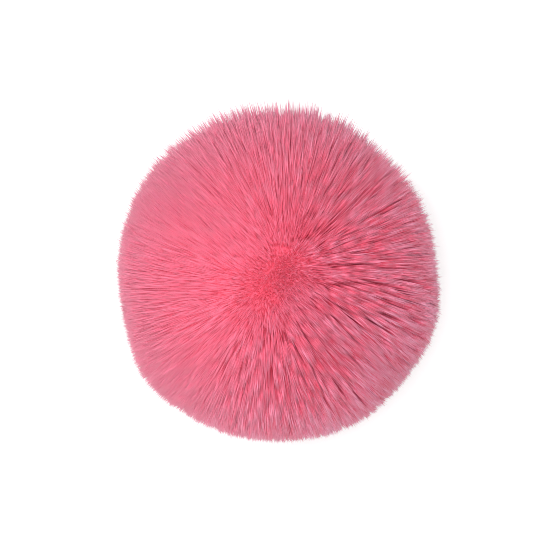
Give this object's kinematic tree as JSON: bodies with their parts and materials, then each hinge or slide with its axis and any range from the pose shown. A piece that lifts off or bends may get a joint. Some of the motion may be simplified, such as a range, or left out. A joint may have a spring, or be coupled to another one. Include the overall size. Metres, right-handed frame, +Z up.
{
  "type": "fur pom pom",
  "caption": "Round ball of long-pile imitation fur, lying on its gathered back, for trimming hats, bags and keyrings.",
  "frame": {"origin": "on the surface the pom pom lies on, under the middle of its outline", "axes": "+Z up, through the crown; +Y is the top of the pictured outline and its longest way across"},
  "size_m": [0.1196, 0.1244, 0.1086],
  "materials": {
    "pile": "long soft pile with a silky sheen"
  },
  "bodies": {
    "root": {"pom_pom": "pile"}
  },
  "joints": []
}
